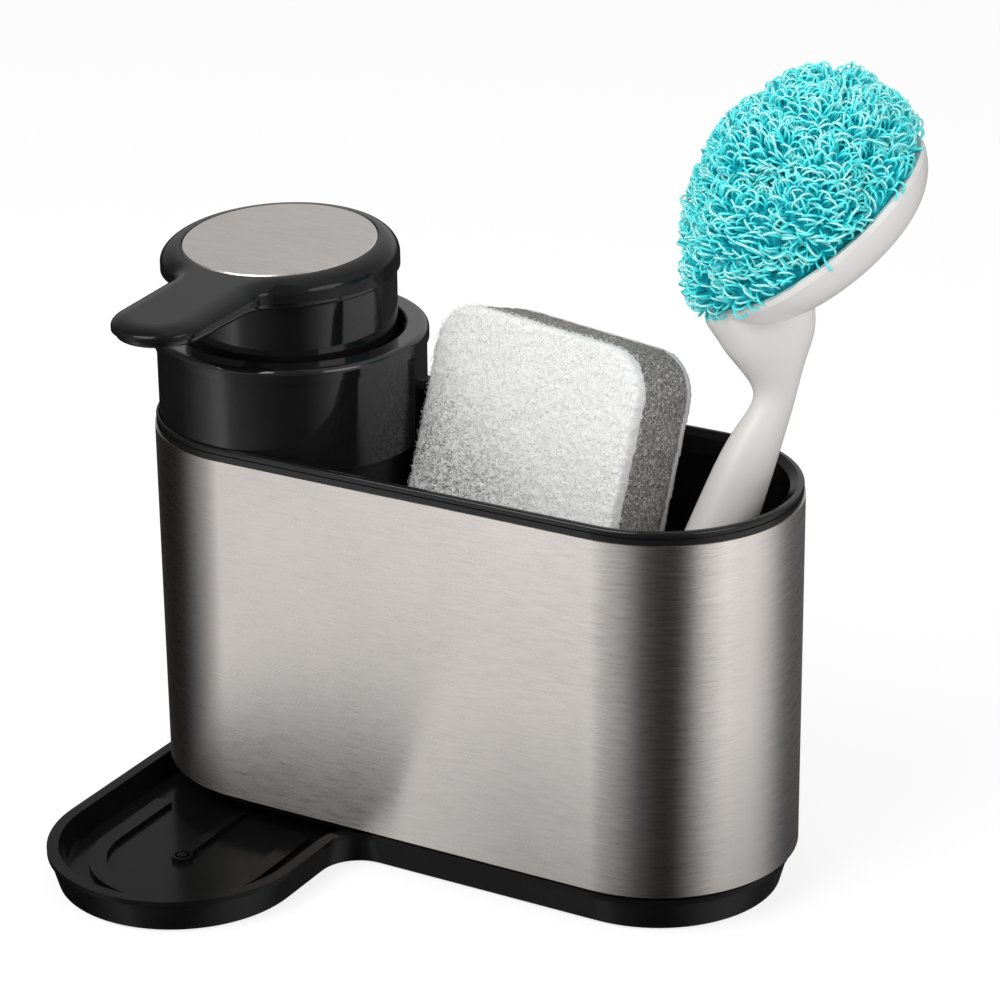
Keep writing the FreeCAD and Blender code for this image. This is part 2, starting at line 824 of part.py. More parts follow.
# Pump head
def head_wire(inset, z):
    """Outline of the head: a round disc that flows into the spout tongue, set in by a distance."""
    disc = disc_radius - inset
    half = tongue_half_width - inset
    blend = tongue_blend + inset
    blend_x = half + blend
    blend_y = -disc_offset - math.sqrt((disc + blend) ** 2 - blend_x ** 2)
    share = disc / (disc + blend)
    touch_x = blend_x * share
    touch_y = -disc_offset + (blend_y + disc_offset) * share
    to_disc = Vec(touch_x - blend_x, touch_y - blend_y, 0)
    to_disc.normalize()
    to_side = Vec(-1, 0, 0)
    bend = to_disc + to_side
    bend.normalize()
    tip = Vec(0, -tongue_reach - half, z)
    edges = []
    right_bend = Vec(blend_x, blend_y, z) + bend * blend
    left_bend = Vec(-right_bend.x, right_bend.y, z)
    right_touch = Vec(touch_x, touch_y, z)
    left_touch = Vec(-touch_x, touch_y, z)
    right_root = Vec(half, blend_y, z)
    left_root = Vec(-half, blend_y, z)
    right_tip = Vec(half, -tongue_reach, z)
    left_tip = Vec(-half, -tongue_reach, z)
    edges.append(arc(right_touch, Vec(0, -disc_offset + disc, z), left_touch))
    edges.append(arc(left_touch, left_bend, left_root))
    edges.append(line(left_root, left_tip))
    edges.append(arc(left_tip, tip, right_tip))
    edges.append(line(right_tip, right_root))
    edges.append(arc(right_root, right_bend, right_touch))
    return Part.Wire(edges)


def head_prism(inset, low, high):
    return Part.Face(head_wire(inset, low)).extrude(Vec(0, 0, high - low))


def under_top(shape, drop):
    """Keep what lies below the head's tilted top, lowered by a distance."""
    reach = 200.0
    above = Part.makeBox(2.0 * reach, 2.0 * reach, reach, Vec(-reach, -reach, 0))
    above.rotate(Vec(0, 0, 0), Vec(1, 0, 0), head_tilt)
    above.translate(Vec(0, -disc_offset, head_top_z - drop))
    return shape.cut(above)


def plate_disc(radius, height, sink):
    """Round plate lying in the head's tilted top, sunk below it by a distance."""
    disc = Part.makeCylinder(radius, height, Vec(0, 0, -sink))
    disc.rotate(Vec(0, 0, 0), Vec(1, 0, 0), head_tilt)
    disc.translate(Vec(0, -disc_offset, head_top_z))
    return disc


def head_ring(share):
    """Outline of the head's rounded edge, from its side wall at share 0 to its flat top at share 1."""
    angle = share * math.pi / 2.0
    rise = math.sin(angle)
    inset = head_round_width * (1.0 - math.cos(angle))
    ring = head_wire(inset, 0.0)
    tilt = head_wall_tilt + (head_tilt - head_wall_tilt) * rise
    height = head_wall_top_z + (head_top_z - head_wall_top_z) * rise
    ring.rotate(Vec(0, -disc_offset, 0), Vec(1, 0, 0), tilt)
    ring.translate(Vec(0, 0, height))
    return ring


def make_head_cap():
    high = head_top_z + disc_radius
    wall = Part.makeLoft([head_wire(0.0, head_seam_z), head_ring(0.0)], True, True)
    rings = [head_ring(step / head_round_steps) for step in range(head_round_steps + 1)]
    outside = wall.fuse(Part.makeLoft(rings, True, False))
    seat = plate_height - plate_proud
    recess = plate_disc(plate_radius + fit_gap, 2.0 * plate_height, seat)
    backing = plate_disc(plate_radius + fit_gap + head_cap_wall, 2.0 * plate_height, seat + head_cap_wall)
    hollow = under_top(head_prism(head_cavity_inset, head_seam_z, high), head_cap_wall).cut(backing)
    return outside.cut(recess).cut(hollow)


def make_head_plate():
    disc = Part.makeCylinder(plate_radius, plate_height)
    disc = disc.makeChamfer(plate_edge, edges_at_height(disc, plate_height))
    disc.translate(Vec(0, 0, plate_proud - plate_height))
    disc.rotate(Vec(0, 0, 0), Vec(1, 0, 0), head_tilt)
    disc.translate(Vec(0, -disc_offset, head_top_z))
    return disc


def nozzle_y():
    return -tongue_reach - nozzle_setback


def make_head_base():
    pan = head_prism(head_base_inset, head_bottom_z, head_seam_z)
    pan = pan.makeFillet(head_base_round, edges_at_height(pan, head_bottom_z))
    pan = pan.fuse(cylinder(skirt_radius, head_bottom_z, head_seam_z)).removeSplitter()
    pan = pan.cut(head_prism(head_cavity_inset, head_bottom_z + head_base_floor, head_seam_z))
    skirt = tube(skirt_radius, skirt_radius - skirt_wall, skirt_bottom_z, head_bottom_z)
    socket_bore = stem_radius + run_gap
    socket = cylinder(socket_bore + socket_wall, head_bottom_z - socket_length, head_bottom_z)
    base = joined([pan, skirt, socket])
    bore_top = head_bottom_z + head_base_floor
    base = base.cut(cylinder(socket_bore, head_bottom_z - socket_length, bore_top))
    return base.cut(cylinder(nozzle_radius + run_gap, head_bottom_z, bore_top, 0, nozzle_y()))


def make_spout_tube():
    """Soap channel on the head's floor, from a block over the stem to a block over the nozzle."""
    low = head_bottom_z + head_base_floor
    radius = channel_radius + channel_wall
    mid_z = low + radius
    top = mid_z + radius
    length = -nozzle_y()
    pipe = Part.makeCylinder(radius, length, Vec(0, 0, mid_z), Vec(0, -1, 0))
    stem_block = cylinder(stem_radius + channel_wall * 2.0, low, top)
    nozzle_block = cylinder(channel_block, low, top, 0, nozzle_y())
    body = joined([pipe, stem_block, nozzle_block])
    bore = Part.makeCylinder(channel_radius, length, Vec(0, 0, mid_z), Vec(0, -1, 0))
    body = body.cut(bore)
    body = body.cut(cylinder(stem_bore, low, mid_z))
    return body.cut(cylinder(channel_radius, low, mid_z, 0, nozzle_y()))


def make_nozzle():
    high = head_bottom_z + head_base_floor
    return tube(nozzle_radius, channel_radius, head_bottom_z - nozzle_drop, high, 0, nozzle_y())


# Sponge
def sponge_slab(front, back):
    """A layer of the sponge between two depths, with the sponge's round corners, upright at the origin."""
    slab = Part.makeBox(sponge_width, back - front, sponge_height, Vec(0, front, 0))
    corners = [edge for edge in slab.Edges if edge.BoundBox.YLength > (back - front) / 2.0]
    return slab.makeFillet(sponge_corner, corners)


def sponge_placed(shape):
    lift = (scour_thickness + foam_thickness + sheet_thickness) * math.sin(math.radians(sponge_lean))
    return leaned(shape, sponge_yaw, sponge_lean, sponge_x, sponge_y, sponge_floor_z + seat_gap + lift)


def make_sponge_scour_face():
    slab = sponge_slab(0.0, scour_thickness)
    front = [edge for edge in slab.Edges if edge.BoundBox.YMax < 0.001]
    return sponge_placed(slab.makeFillet(scour_round, front))


def make_sponge_foam():
    return sponge_placed(sponge_slab(scour_thickness, scour_thickness + foam_thickness))


def make_sponge_back_sheet():
    front = scour_thickness + foam_thickness
    return sponge_placed(sponge_slab(front, front + sheet_thickness))


# Dish brush
def brush_placed(shape):
    return leaned(shape, brush_yaw, brush_lean, brush_x, brush_y, brush_z)


def dish_placed(shape):
    """Move a piece drawn about the dish's axis, rim at height 0, to its place on the brush."""
    placed = shape.copy()
    tilt = FreeCAD.Rotation(Vec(0, 1, 0), -dish_tilt)
    facing = FreeCAD.Rotation(Vec(1, 0, 0), dish_facing)
    place = FreeCAD.Placement(Vec(dish_x, 0, dish_z), tilt.multiply(facing))
    placed.Placement = place.multiply(placed.Placement)
    return placed


def dish_body(inset):
    """The dish filled to its rim, set in by a distance."""
    rim = dish_radius - inset
    bottom = -dish_depth + inset
    flat = dish_flat - inset
    share = inset * math.sqrt(0.5)
    bend = (dish_bend_radius - share, -dish_bend_depth + share)
    return revolved([
        (0, bottom),
        (flat, bottom),
        (bend, (rim, -dish_lip)),
        (rim, 0),
        (0, 0),
    ])


def make_brush_cup():
    return brush_placed(dish_placed(dish_body(0.0).cut(dish_body(dish_wall))))


def make_scourer_plug():
    floor = -dish_depth + dish_wall
    return brush_placed(dish_placed(cylinder(plug_radius, floor, floor + plug_length)))


def make_scourer_ball():
    """Oval pile of loops that swells out over the dish's rim, with its root filling the dish."""
    low = seat_gap
    side_x = ball_half_width - ball_side_round
    spare = ball_half_height - ball_side_round
    crown_drop = (side_x ** 2 - spare ** 2) / (2.0 * spare)
    crown_radius = ball_half_height + crown_drop
    start = math.degrees(math.asin((low - ball_rise) / ball_side_round))
    meet = math.degrees(math.atan2(crown_drop, side_x))
    dome = revolved([
        (0, low),
        (side_x + ball_side_round * math.cos(math.radians(start)), low),
        corner_arc(side_x, ball_rise, ball_side_round, start, meet),
        corner_arc(0, ball_rise - crown_drop, crown_radius, meet, 90),
    ])
    dome.translate(Vec(ball_shift, 0, 0))
    neck = cylinder(dish_radius - dish_wall - ball_shift, -seat_gap, 2.0 * low)
    ball = joined([dish_body(dish_wall + seat_gap), neck, dome])
    hole = cylinder(plug_radius + run_gap, -dish_depth, -dish_depth + dish_wall + plug_length + seat_gap)
    return brush_placed(dish_placed(ball.cut(hole)))


def handle_section(place):
    """Oval section of the handle, wider than deep and square to the handle's line."""
    x, z, slope, half_width = place
    centre = Vec(x, 0, z)
    across = Vec(math.cos(math.radians(slope)), 0, math.sin(math.radians(slope)))
    deep = Vec(0, half_width * handle_flatness, 0)
    return Part.Wire(Part.Ellipse(centre + across * half_width, centre + deep, centre).toShape())


def make_brush_handle():
    lower = [handle_foot, handle_heel, handle_calf, handle_grip, handle_hip, handle_taper]
    upper = [handle_waist, handle_throat, handle_flare, handle_fan, handle_root]
    handle = Part.makeLoft([handle_section(place) for place in lower + upper], True, False)
    return brush_placed(handle.cut(dish_placed(dish_body(0.0))).Solids[0])


makers = {
    "base_tray": make_base_tray,
    "rubber_feet": make_rubber_feet,
    "steel_sleeve": make_steel_sleeve,
    "plinth_ring": make_plinth_ring,
    "liner": make_liner,
    "rim_ring": make_rim_ring,
    "bottle": make_bottle,
    "screw_collar": make_screw_collar,
    "pump_cup": make_pump_cup,
    "cup_gasket": make_cup_gasket,
    "pump_cylinder": make_pump_cylinder,
    "cylinder_cap": make_cylinder_cap,
    "return_spring": make_return_spring,
    "inlet_ball": make_inlet_ball,
    "dip_tube": make_dip_tube,
    "piston": make_piston,
    "stem": make_stem,
    "head_base": make_head_base,
    "head_cap": make_head_cap,
    "head_plate": make_head_plate,
    "spout_tube": make_spout_tube,
    "nozzle": make_nozzle,
    "sponge_scour_face": make_sponge_scour_face,
    "sponge_foam": make_sponge_foam,
    "sponge_back_sheet": make_sponge_back_sheet,
    "brush_handle": make_brush_handle,
    "brush_cup": make_brush_cup,
    "scourer_plug": make_scourer_plug,
    "scourer_ball": make_scourer_ball,
}

os.makedirs("parts", exist_ok=True)
for name, make in makers.items():
    shape = make()
    shape.exportStep("parts/" + name + ".step")
    print(name, "solids", len(shape.Solids), "volume", round(shape.Volume), "valid", shape.isValid())
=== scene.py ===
import bpy
import bmesh
import math
from mathutils import Matrix, Vector, noise


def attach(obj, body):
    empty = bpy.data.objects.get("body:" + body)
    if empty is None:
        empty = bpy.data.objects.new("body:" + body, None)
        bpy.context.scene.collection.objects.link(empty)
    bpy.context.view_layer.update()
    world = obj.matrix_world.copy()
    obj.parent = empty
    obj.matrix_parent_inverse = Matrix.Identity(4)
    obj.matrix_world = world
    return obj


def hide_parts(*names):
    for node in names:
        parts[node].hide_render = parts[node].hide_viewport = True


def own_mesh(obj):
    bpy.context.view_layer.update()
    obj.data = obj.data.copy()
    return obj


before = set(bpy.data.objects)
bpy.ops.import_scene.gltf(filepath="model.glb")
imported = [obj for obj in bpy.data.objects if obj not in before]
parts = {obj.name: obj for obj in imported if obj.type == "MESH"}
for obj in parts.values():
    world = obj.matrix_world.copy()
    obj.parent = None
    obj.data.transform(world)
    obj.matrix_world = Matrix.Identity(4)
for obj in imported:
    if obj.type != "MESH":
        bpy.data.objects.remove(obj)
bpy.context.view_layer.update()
scene = bpy.context.scene
mm = 0.001

# Camera, with its angles in degrees
camera_azimuth = 30.057
camera_elevation = 22.296
camera_roll = -0.656
camera_target = Vector((67.716, 0.224, 103.824)) * mm
camera_distance = 1031.945 * mm
camera_lens = 132.59
camera_sensor = 36.0

# Studio
floor_size = 40.0
floor_drop = 0.1 * mm
floor_glow = 0.80
floor_grey = 0.8
floor_shown_grey = 0.26
soft_light = 0.50
background_white = 1.0
lamps = {
    "key_lamp": {"azimuth": -20.0, "elevation": 48.0, "distance": 1.3, "size": 0.9, "share": 0.58},
    "fill_lamp": {"azimuth": 75.0, "elevation": 30.0, "distance": 1.4, "size": 0.8, "share": 0.22},
}

# White and dark cards round the object for shiny surfaces, as degrees and level
# 0 degrees is the front and 90 the right
low_cards = [
    (-180, 0.06), (-152, 0.01), (-90, 0.004), (-78, 0.015), (-66, 0.11), (-56, 0.29), (-46, 0.54),
    (-38, 0.86), (-32, 1.03), (-28, 0.87), (-23, 0.48), (-14, 0.29), (6, 0.11), (20, 0.035),
    (29, 0.006), (42, 0.012), (50, 0.11), (58, 0.26), (70, 0.61), (84, 0.97), (104, 1.12),
    (122, 0.80), (138, 0.29), (152, 0.10), (180, 0.06),
]
high_cards = [
    (-180, 0.80), (-150, 0.69), (-125, 0.30), (-100, 0.08), (-78, 0.13), (-50, 0.48), (-20, 0.62),
    (10, 0.28), (40, 0.14), (70, 0.50), (105, 0.70), (140, 0.60), (180, 0.80),
]
low_cards_end = -0.06
high_cards_start = 0.16

# Most of what a noise gives lies between these two
noise_low = 0.3
noise_high = 0.7

# Steel wrap: an edge that turns by more than this stays crisp
sharp_edge = math.radians(30.0)

# Steel wrap: painted shade and a painted dark reflection of the tray make its lower edge darker on the
# side away from the tray's lobe
steel_painted_shade_greys = (0.54, 0.86, 1.0)
steel_painted_shade_shares = (0.1, 1.0)
steel_painted_shade_from = 30.0 * mm
steel_painted_shade_to = 95.0 * mm
steel_cloud_share = 0.25
steel_tones = (0.42, 0.82)

# Brush handle: heights between which painted shade turns its grip greyer
painted_shade_low = 118.0 * mm
painted_shade_high = 168.0 * mm

# Sponge
sponge_yaw = -13.0
sponge_lean = 17.5
fleece_voxel = 0.75 * mm
fleece_lump = 0.32 * mm
fleece_lump_size = 1.5 * mm
foam_voxel = 0.8 * mm
foam_lump = 0.22 * mm
foam_lump_size = 2.4 * mm
sheet_voxel = 0.7 * mm
sheet_lump = 0.12 * mm
sheet_lump_size = 3.0 * mm
small_lump_share = 0.6
small_lump_ratio = 2.3
# Painted shade on the fleece: it turns greyer and more flecked towards its corner by the pump
fleece_painted_shade_way = (0.55, 0.0, 0.83)
fleece_painted_shade_start = 0.122
fleece_painted_shade_end = 0.164
fleece_fleck_end = 0.6
fleece_fleck_least = 0.06

# Fibres on the sponge's white face, on all that turns no further to the back than the limit
open_side_limit = 0.35
fibre_spacing = 0.9 * mm
fibre_bend = 1.0 * mm
fibre_radius = 0.065 * mm
fibre_start = math.radians(35.0)
fibre_sweep = math.radians(110.0)
fibre_rise = math.radians(70.0)
fibre_sink = -0.5
fibre_tilt = 1.2
fibre_scales = (0.7, 1.3)
fibre_points = 4
fibre_sides = 3
fibre_seed = 3

# Brush and its dish. The scourer is drawn about the dish's axis with the rim at height 0
brush_foot = Vector((137.8, 4.0, 116.1)) * mm
brush_yaw = 37.6
brush_lean = 11.6
dish_centre = Vector((24.6, 0.0, 74.6)) * mm
dish_tilt = 39.1
dish_facing = 4.8
dish_inside = 32.8 * mm
dish_rim = 0.6 * mm
dish_floor = -7.0 * mm

# Core of the scourer
scourer_middle = Vector((0.4, -1.0, 6.3)) * mm
core_divisions = 6
core_ripple = 0.8 * mm
core_ripple_rate = 6.0
pile_depth = 4.8 * mm
crease_depth = 0.12
crease_width = 0.30
bulge_spread = 0.38
least_reach = 0.01 * mm

# Loops of the scourer: leans, tilts and combing are in radians
loop_radius = 2.2 * mm
loop_stretch = 1.35
loop_wire = 0.31 * mm
loop_spacing = 2.0 * mm
loop_lean = 0.5
loop_tilt = 0.25
loop_combing = 0.8
loop_seed = 7
under_radius = 0.8 * loop_radius
under_stretch = 1.7
under_spacing = 1.85 * mm
under_lean = 0.35
under_tilt = 0.35
under_combing = 1.2
under_seed = 8
loop_points = 13
loop_turns = 0.92
loop_pitch = 0.5
loop_stand = (math.radians(90.0), math.radians(107.0), 0.0)
loop_sides = 5
loop_crown = 2.35
loop_scales = (0.85, 1.15)
loop_tint_share = 0.15

# Seeds for what differs from thread to thread, and the most threads in a square metre
lean_seed = 11
tilt_seed = 12
spin_seed = 13
scale_seed = 14
tint_seed = 15
most_threads = 4000000.0

# Bulges of the scourer, as points on its outer skin in millimetres from its middle
front_bulge = Vector((4.6, -35.5, 6.8))
right_front_bulge = Vector((31.5, -18.7, 9.0))
tuft_bulge = Vector((2.0, -18.0, 27.0))
left_front_bulge = Vector((-25.2, -21.6, 10.6))
lower_left_bulge = Vector((-31.0, -21.4, -6.0))
lower_right_bulge = Vector((20.7, -31.9, -5.2))
top_front_bulge = Vector((18.6, -13.0, 25.0))
left_edge_bulge = Vector((-40.5, -3.0, -6.0))
upper_left_edge_bulge = Vector((-21.3, 3.0, 20.3))
top_edge_bulge = Vector((1.0, 8.0, 30.0))
upper_right_edge_bulge = Vector((25.5, 4.0, 22.5))
right_shoulder_bulge = Vector((41.0, 4.0, 17.0))
right_edge_bulge = Vector((36.5, -3.0, 5.0))
back_bulge = Vector((2.0, 35.0, 6.0))
back_left_bulge = Vector((-28.0, 20.0, 8.0))
back_right_bulge = Vector((29.0, 20.0, 10.0))
bulges = [
    front_bulge, right_front_bulge, tuft_bulge, left_front_bulge, lower_left_bulge,
    lower_right_bulge, top_front_bulge, left_edge_bulge, upper_left_edge_bulge, top_edge_bulge,
    upper_right_edge_bulge, right_shoulder_bulge, right_edge_bulge, back_bulge, back_left_bulge,
    back_right_bulge,
]

# Deep folds in the scourer, as directions from its middle
tuft_fold = Vector((-7.0, -25.0, 20.5))
side_fold = Vector((14.9, -32.8, 1.0))
tuft_fold_depth = 9.0 * mm
side_fold_depth = 3.5 * mm
fold_width = 0.2
fold_opening = 0.13

# Heights over the dish's rim from which loops grow
rim_gap = 1.5 * mm
rim_gap_slope = 0.02
under_gap = 1.0 * mm

# Sockets of a colour mix node
mix_first = 6
mix_second = 7
mix_result = 2


# Placing
def turned(yaw, lean):
    """Rotation of a thing that leans back by an angle and then turns about the upright."""
    return Matrix.Rotation(math.radians(yaw), 4, "Z") @ Matrix.Rotation(math.radians(-lean), 4, "X")


def way_to(azimuth, elevation):
    """Direction from the object, with 0 degrees at the front and 90 at the right."""
    turn = math.radians(azimuth)
    rise = math.radians(elevation)
    return Vector((math.sin(turn) * math.cos(rise), -math.cos(turn) * math.cos(rise), math.sin(rise)))


def put(name, data):
    made = bpy.data.objects.new(name, data)
    scene.collection.objects.link(made)
    return made


# Nodes that finishes share
def add(tree, kind, **settings):
    made = tree.nodes.new(kind)
    for name, value in settings.items():
        setattr(made, name, value)
    return made


def axes(tree, coordinates="Object"):
    """X, Y and Z of a point, in the piece's own coordinates if no others are named."""
    place = add(tree, "ShaderNodeTexCoord")
    split = add(tree, "ShaderNodeSeparateXYZ")
    tree.links.new(place.outputs[coordinates], split.inputs["Vector"])
    return split.outputs


def times(tree, value, factor):
    product = add(tree, "ShaderNodeMath", operation="MULTIPLY")
    product.inputs[1].default_value = factor
    tree.links.new(value, product.inputs[0])
    return product.outputs["Value"]


def with_share(tree, base, value, share):
    """A base value with a share of another added to it."""
    total = add(tree, "ShaderNodeMath", operation="MULTIPLY_ADD")
    total.inputs[1].default_value = share
    tree.links.new(value, total.inputs[0])
    tree.links.new(base, total.inputs[2])
    return total.outputs["Value"]


def grain(tree, size, detail=2.0, stretch=(1.0, 1.0, 1.0)):
    """Noise in the piece's own coordinates, with a grain of a given size that may be drawn out."""
    place = add(tree, "ShaderNodeTexCoord")
    draw = add(tree, "ShaderNodeMapping")
    draw.inputs["Scale"].default_value = stretch
    speckle = add(tree, "ShaderNodeTexNoise")
    speckle.inputs["Scale"].default_value = 1.0 / size
    speckle.inputs["Detail"].default_value = detail
    tree.links.new(place.outputs["Object"], draw.inputs["Vector"])
    tree.links.new(draw.outputs["Vector"], speckle.inputs["Vector"])
    return speckle.outputs["Fac"]


def cells(tree, size):
    """Cells of a given size, each with a colour of its own and a distance to its middle."""
    place = add(tree, "ShaderNodeTexCoord")
    pattern = add(tree, "ShaderNodeTexVoronoi")
    pattern.inputs["Scale"].default_value = 1.0 / size
    tree.links.new(place.outputs["Object"], pattern.inputs["Vector"])
    return pattern.outputs


def specks(tree, size):
    """A random level from 0 to 1 for each cell of a given size."""
    split = add(tree, "ShaderNodeSeparateColor")
    tree.links.new(cells(tree, size)["Color"], split.inputs["Color"])
    return split.outputs["Red"]


def shade(tree, value, stops):
    """Colours along a value from 0 to 1."""
    ramp = add(tree, "ShaderNodeValToRGB")
    band = ramp.color_ramp
    while len(band.elements) < len(stops):
        band.elements.new(1.0)
    for element, (place, colour) in zip(band.elements, stops):
        element.position = place
        element.color = (*colour, 1.0)
    tree.links.new(value, ramp.inputs["Fac"])
    return ramp.outputs["Color"]


def two_tone(tree, value, dark, light):
    """Two colours mingled by a noise."""
    return shade(tree, value, [(noise_low, dark), (noise_high, light)])


def spread(tree, value, low, high, low_in=noise_low, high_in=noise_high):
    """A value moved from one range to another."""
    change = add(tree, "ShaderNodeMapRange")
    change.inputs["From Min"].default_value = low_in
    change.inputs["From Max"].default_value = high_in
    change.inputs["To Min"].default_value = low
    change.inputs["To Max"].default_value = high
    tree.links.new(value, change.inputs["Value"])
    return change.outputs["Result"]


def mixed(tree, first, second, share, blend="MIX"):
    """Two colours put together by a share, which is a number or another node's output."""
    mix = add(tree, "ShaderNodeMix", data_type="RGBA", blend_type=blend)
    if isinstance(share, float):
        mix.inputs["Factor"].default_value = share
    else:
        tree.links.new(share, mix.inputs["Factor"])
    tree.links.new(first, mix.inputs[mix_first])
    tree.links.new(second, mix.inputs[mix_second])
    return mix.outputs[mix_result]


def relief(tree, shader, height, depth, strength):
    bump = add(tree, "ShaderNodeBump")
    bump.inputs["Strength"].default_value = strength
    bump.inputs["Distance"].default_value = depth
    tree.links.new(height, bump.inputs["Height"])
    tree.links.new(bump.outputs["Normal"], shader.inputs["Normal"])


def grey(level, warm=0.0):
    return (level * (1.0 + warm), level, level * (1.0 - warm))


def new_finish(name):
    made = bpy.data.materials.new(name)
    made.use_nodes = True
    tree = made.node_tree
    return made, tree, tree.nodes["Principled BSDF"]


# Finishes
def moulded_black(name, dark, light, gloss, dull, specular):
    made, tree, shader = new_finish(name)
    flow = grain(tree, size=18.0 * mm, detail=3.0)
    skin = grain(tree, size=0.55 * mm)
    tree.links.new(two_tone(tree, flow, grey(dark), grey(light)), shader.inputs["Base Color"])
    tree.links.new(spread(tree, skin, gloss, dull), shader.inputs["Roughness"])
    shader.inputs["Specular IOR Level"].default_value = specular
    relief(tree, shader, skin, depth=0.012 * mm, strength=0.5)
    return made


def brushed_steel(name, stretch, dark, light, low, high, drawn):
    """Steel with fine lines, and painted shade that darkens it towards its lower edge, for the dark
    tray that it mirrors there.
    """
    made, tree, shader = new_finish(name)
    lines = grain(tree, size=1.0, detail=4.0, stretch=stretch)
    cloud = grain(tree, size=30.0 * mm)
    tone = with_share(tree, lines, cloud, steel_cloud_share)
    streaks = shade(tree, tone, list(zip(steel_tones, (dark, light))))
    # Painted shade and painted reflection: the colour darkens towards the lower edge, more so on the
    # side away from the tray's lobe
    place = axes(tree)
    rise = spread(tree, place["Z"], 0.0, 1.0, low, high)
    stops = list(zip((0.0, 0.5, 1.0), map(grey, steel_painted_shade_greys)))
    painted_shade_share = spread(tree, place["X"], *steel_painted_shade_shares, steel_painted_shade_from, steel_painted_shade_to)
    colour = mixed(tree, streaks, shade(tree, rise, stops), painted_shade_share, "MULTIPLY")
    tree.links.new(colour, shader.inputs["Base Color"])
    tree.links.new(spread(tree, lines, 0.26, 0.31), shader.inputs["Roughness"])
    shader.inputs["Metallic"].default_value = 1.0
    shader.inputs["Anisotropic"].default_value = drawn
    shader.inputs["Anisotropic Rotation"].default_value = 0.25
    tangent = add(tree, "ShaderNodeTangent", direction_type="RADIAL", axis="Z")
    tree.links.new(tangent.outputs["Tangent"], shader.inputs["Tangent"])
    relief(tree, shader, lines, depth=0.03 * mm, strength=0.6)
    return made


def bright_wire(name):
    made, tree, shader = new_finish(name)
    lines = grain(tree, size=0.6 * mm)
    tree.links.new(two_tone(tree, lines, grey(0.52), grey(0.68)), shader.inputs["Base Color"])
    tree.links.new(spread(tree, lines, 0.12, 0.22), shader.inputs["Roughness"])
    shader.inputs["Metallic"].default_value = 1.0
    return made


def pale_moulding(name, dark, light, gloss, dull, painted_shade_grey):
    """Pale plastic, which may carry painted shade that makes it greyer towards the grip that stands in
    the tub.
    """
    made, tree, shader = new_finish(name)
    flow = grain(tree, size=22.0 * mm, detail=3.0)
    skin = grain(tree, size=0.5 * mm)
    # Painted shade: greyer towards the lower grip, where the tub shades it
    rise = spread(tree, axes(tree)["Z"], 0.0, 1.0, painted_shade_low, painted_shade_high)
    painted_shade = shade(tree, rise, [(0.0, grey(painted_shade_grey, warm=0.01)), (1.0, grey(1.0))])
    colour = mixed(tree, two_tone(tree, flow, dark, light), painted_shade, 1.0, "MULTIPLY")
    tree.links.new(colour, shader.inputs["Base Color"])
    tree.links.new(spread(tree, skin, gloss, dull), shader.inputs["Roughness"])
    shader.inputs["Specular IOR Level"].default_value = 0.4
    relief(tree, shader, skin, depth=0.01 * mm, strength=0.4)
    return made


def pad_rubber(name):
    made, tree, shader = new_finish(name)
    skin = grain(tree, size=0.4 * mm, detail=3.0)
    tree.links.new(two_tone(tree, skin, grey(0.012), grey(0.026)), shader.inputs["Base Color"])
    tree.links.new(spread(tree, skin, 0.75, 0.95), shader.inputs["Roughness"])
    relief(tree, shader, skin, depth=0.03 * mm, strength=0.6)
    return made


def white_fleece(name, dark, light):
    """Fine white fibre, with painted shade that makes it greyer and more flecked towards the corner
    that stands by the pump.
    """
    made, tree, shader = new_finish(name)
    tuft = grain(tree, size=0.42 * mm)
    pile = shade(tree, tuft, [(0.30, grey(dark, warm=0.006)), (0.60, grey(light, warm=0.004))])
    # Painted shade: greyer and more flecked towards the corner by the pump
    place = add(tree, "ShaderNodeTexCoord")
    along = add(tree, "ShaderNodeVectorMath", operation="DOT_PRODUCT")
    along.inputs[1].default_value = fleece_painted_shade_way
    tree.links.new(place.outputs["Object"], along.inputs[0])
    near = spread(tree, along.outputs["Value"], 0.0, 1.0, fleece_painted_shade_start, fleece_painted_shade_end)
    corner_painted_shade = shade(tree, near, [(0.0, grey(0.93)), (0.45, grey(0.98)), (1.0, grey(1.0))])
    painted_shade = mixed(tree, pile, corner_painted_shade, 1.0, "MULTIPLY")
    stops = [(0.0, grey(0.2)), (0.45, grey(0.8)), (1.0, grey(1.0))]
    fleck = shade(tree, specks(tree, 0.5 * mm), stops)
    flecked = spread(tree, near, 1.0, fleece_fleck_least, 0.0, fleece_fleck_end)
    tree.links.new(mixed(tree, painted_shade, fleck, flecked, "MULTIPLY"), shader.inputs["Base Color"])
    shader.inputs["Roughness"].default_value = 0.95
    shader.inputs["Specular IOR Level"].default_value = 0.15
    relief(tree, shader, tuft, depth=0.24 * mm, strength=0.8)
    return made


def open_foam(name):
    made, tree, shader = new_finish(name)
    pores = cells(tree, 0.8 * mm)["Distance"]
    fleck = specks(tree, 0.52 * mm)
    stops = [
        (0.0, grey(0.10, warm=0.04)),
        (0.3, grey(0.22, warm=0.04)),
        (0.78, grey(0.30, warm=0.04)),
        (1.0, grey(0.58, warm=0.03)),
    ]
    tree.links.new(shade(tree, fleck, stops), shader.inputs["Base Color"])
    shader.inputs["Roughness"].default_value = 0.92
    shader.inputs["Specular IOR Level"].default_value = 0.2
    relief(tree, shader, pores, depth=0.14 * mm, strength=0.45)
    return made


def woven_sheet(name):
    made, tree, shader = new_finish(name)
    warp = grain(tree, size=0.5 * mm)
    tree.links.new(two_tone(tree, warp, grey(0.52), grey(0.72)), shader.inputs["Base Color"])
    shader.inputs["Roughness"].default_value = 0.9
    relief(tree, shader, warp, depth=0.12 * mm, strength=0.6)
    return made


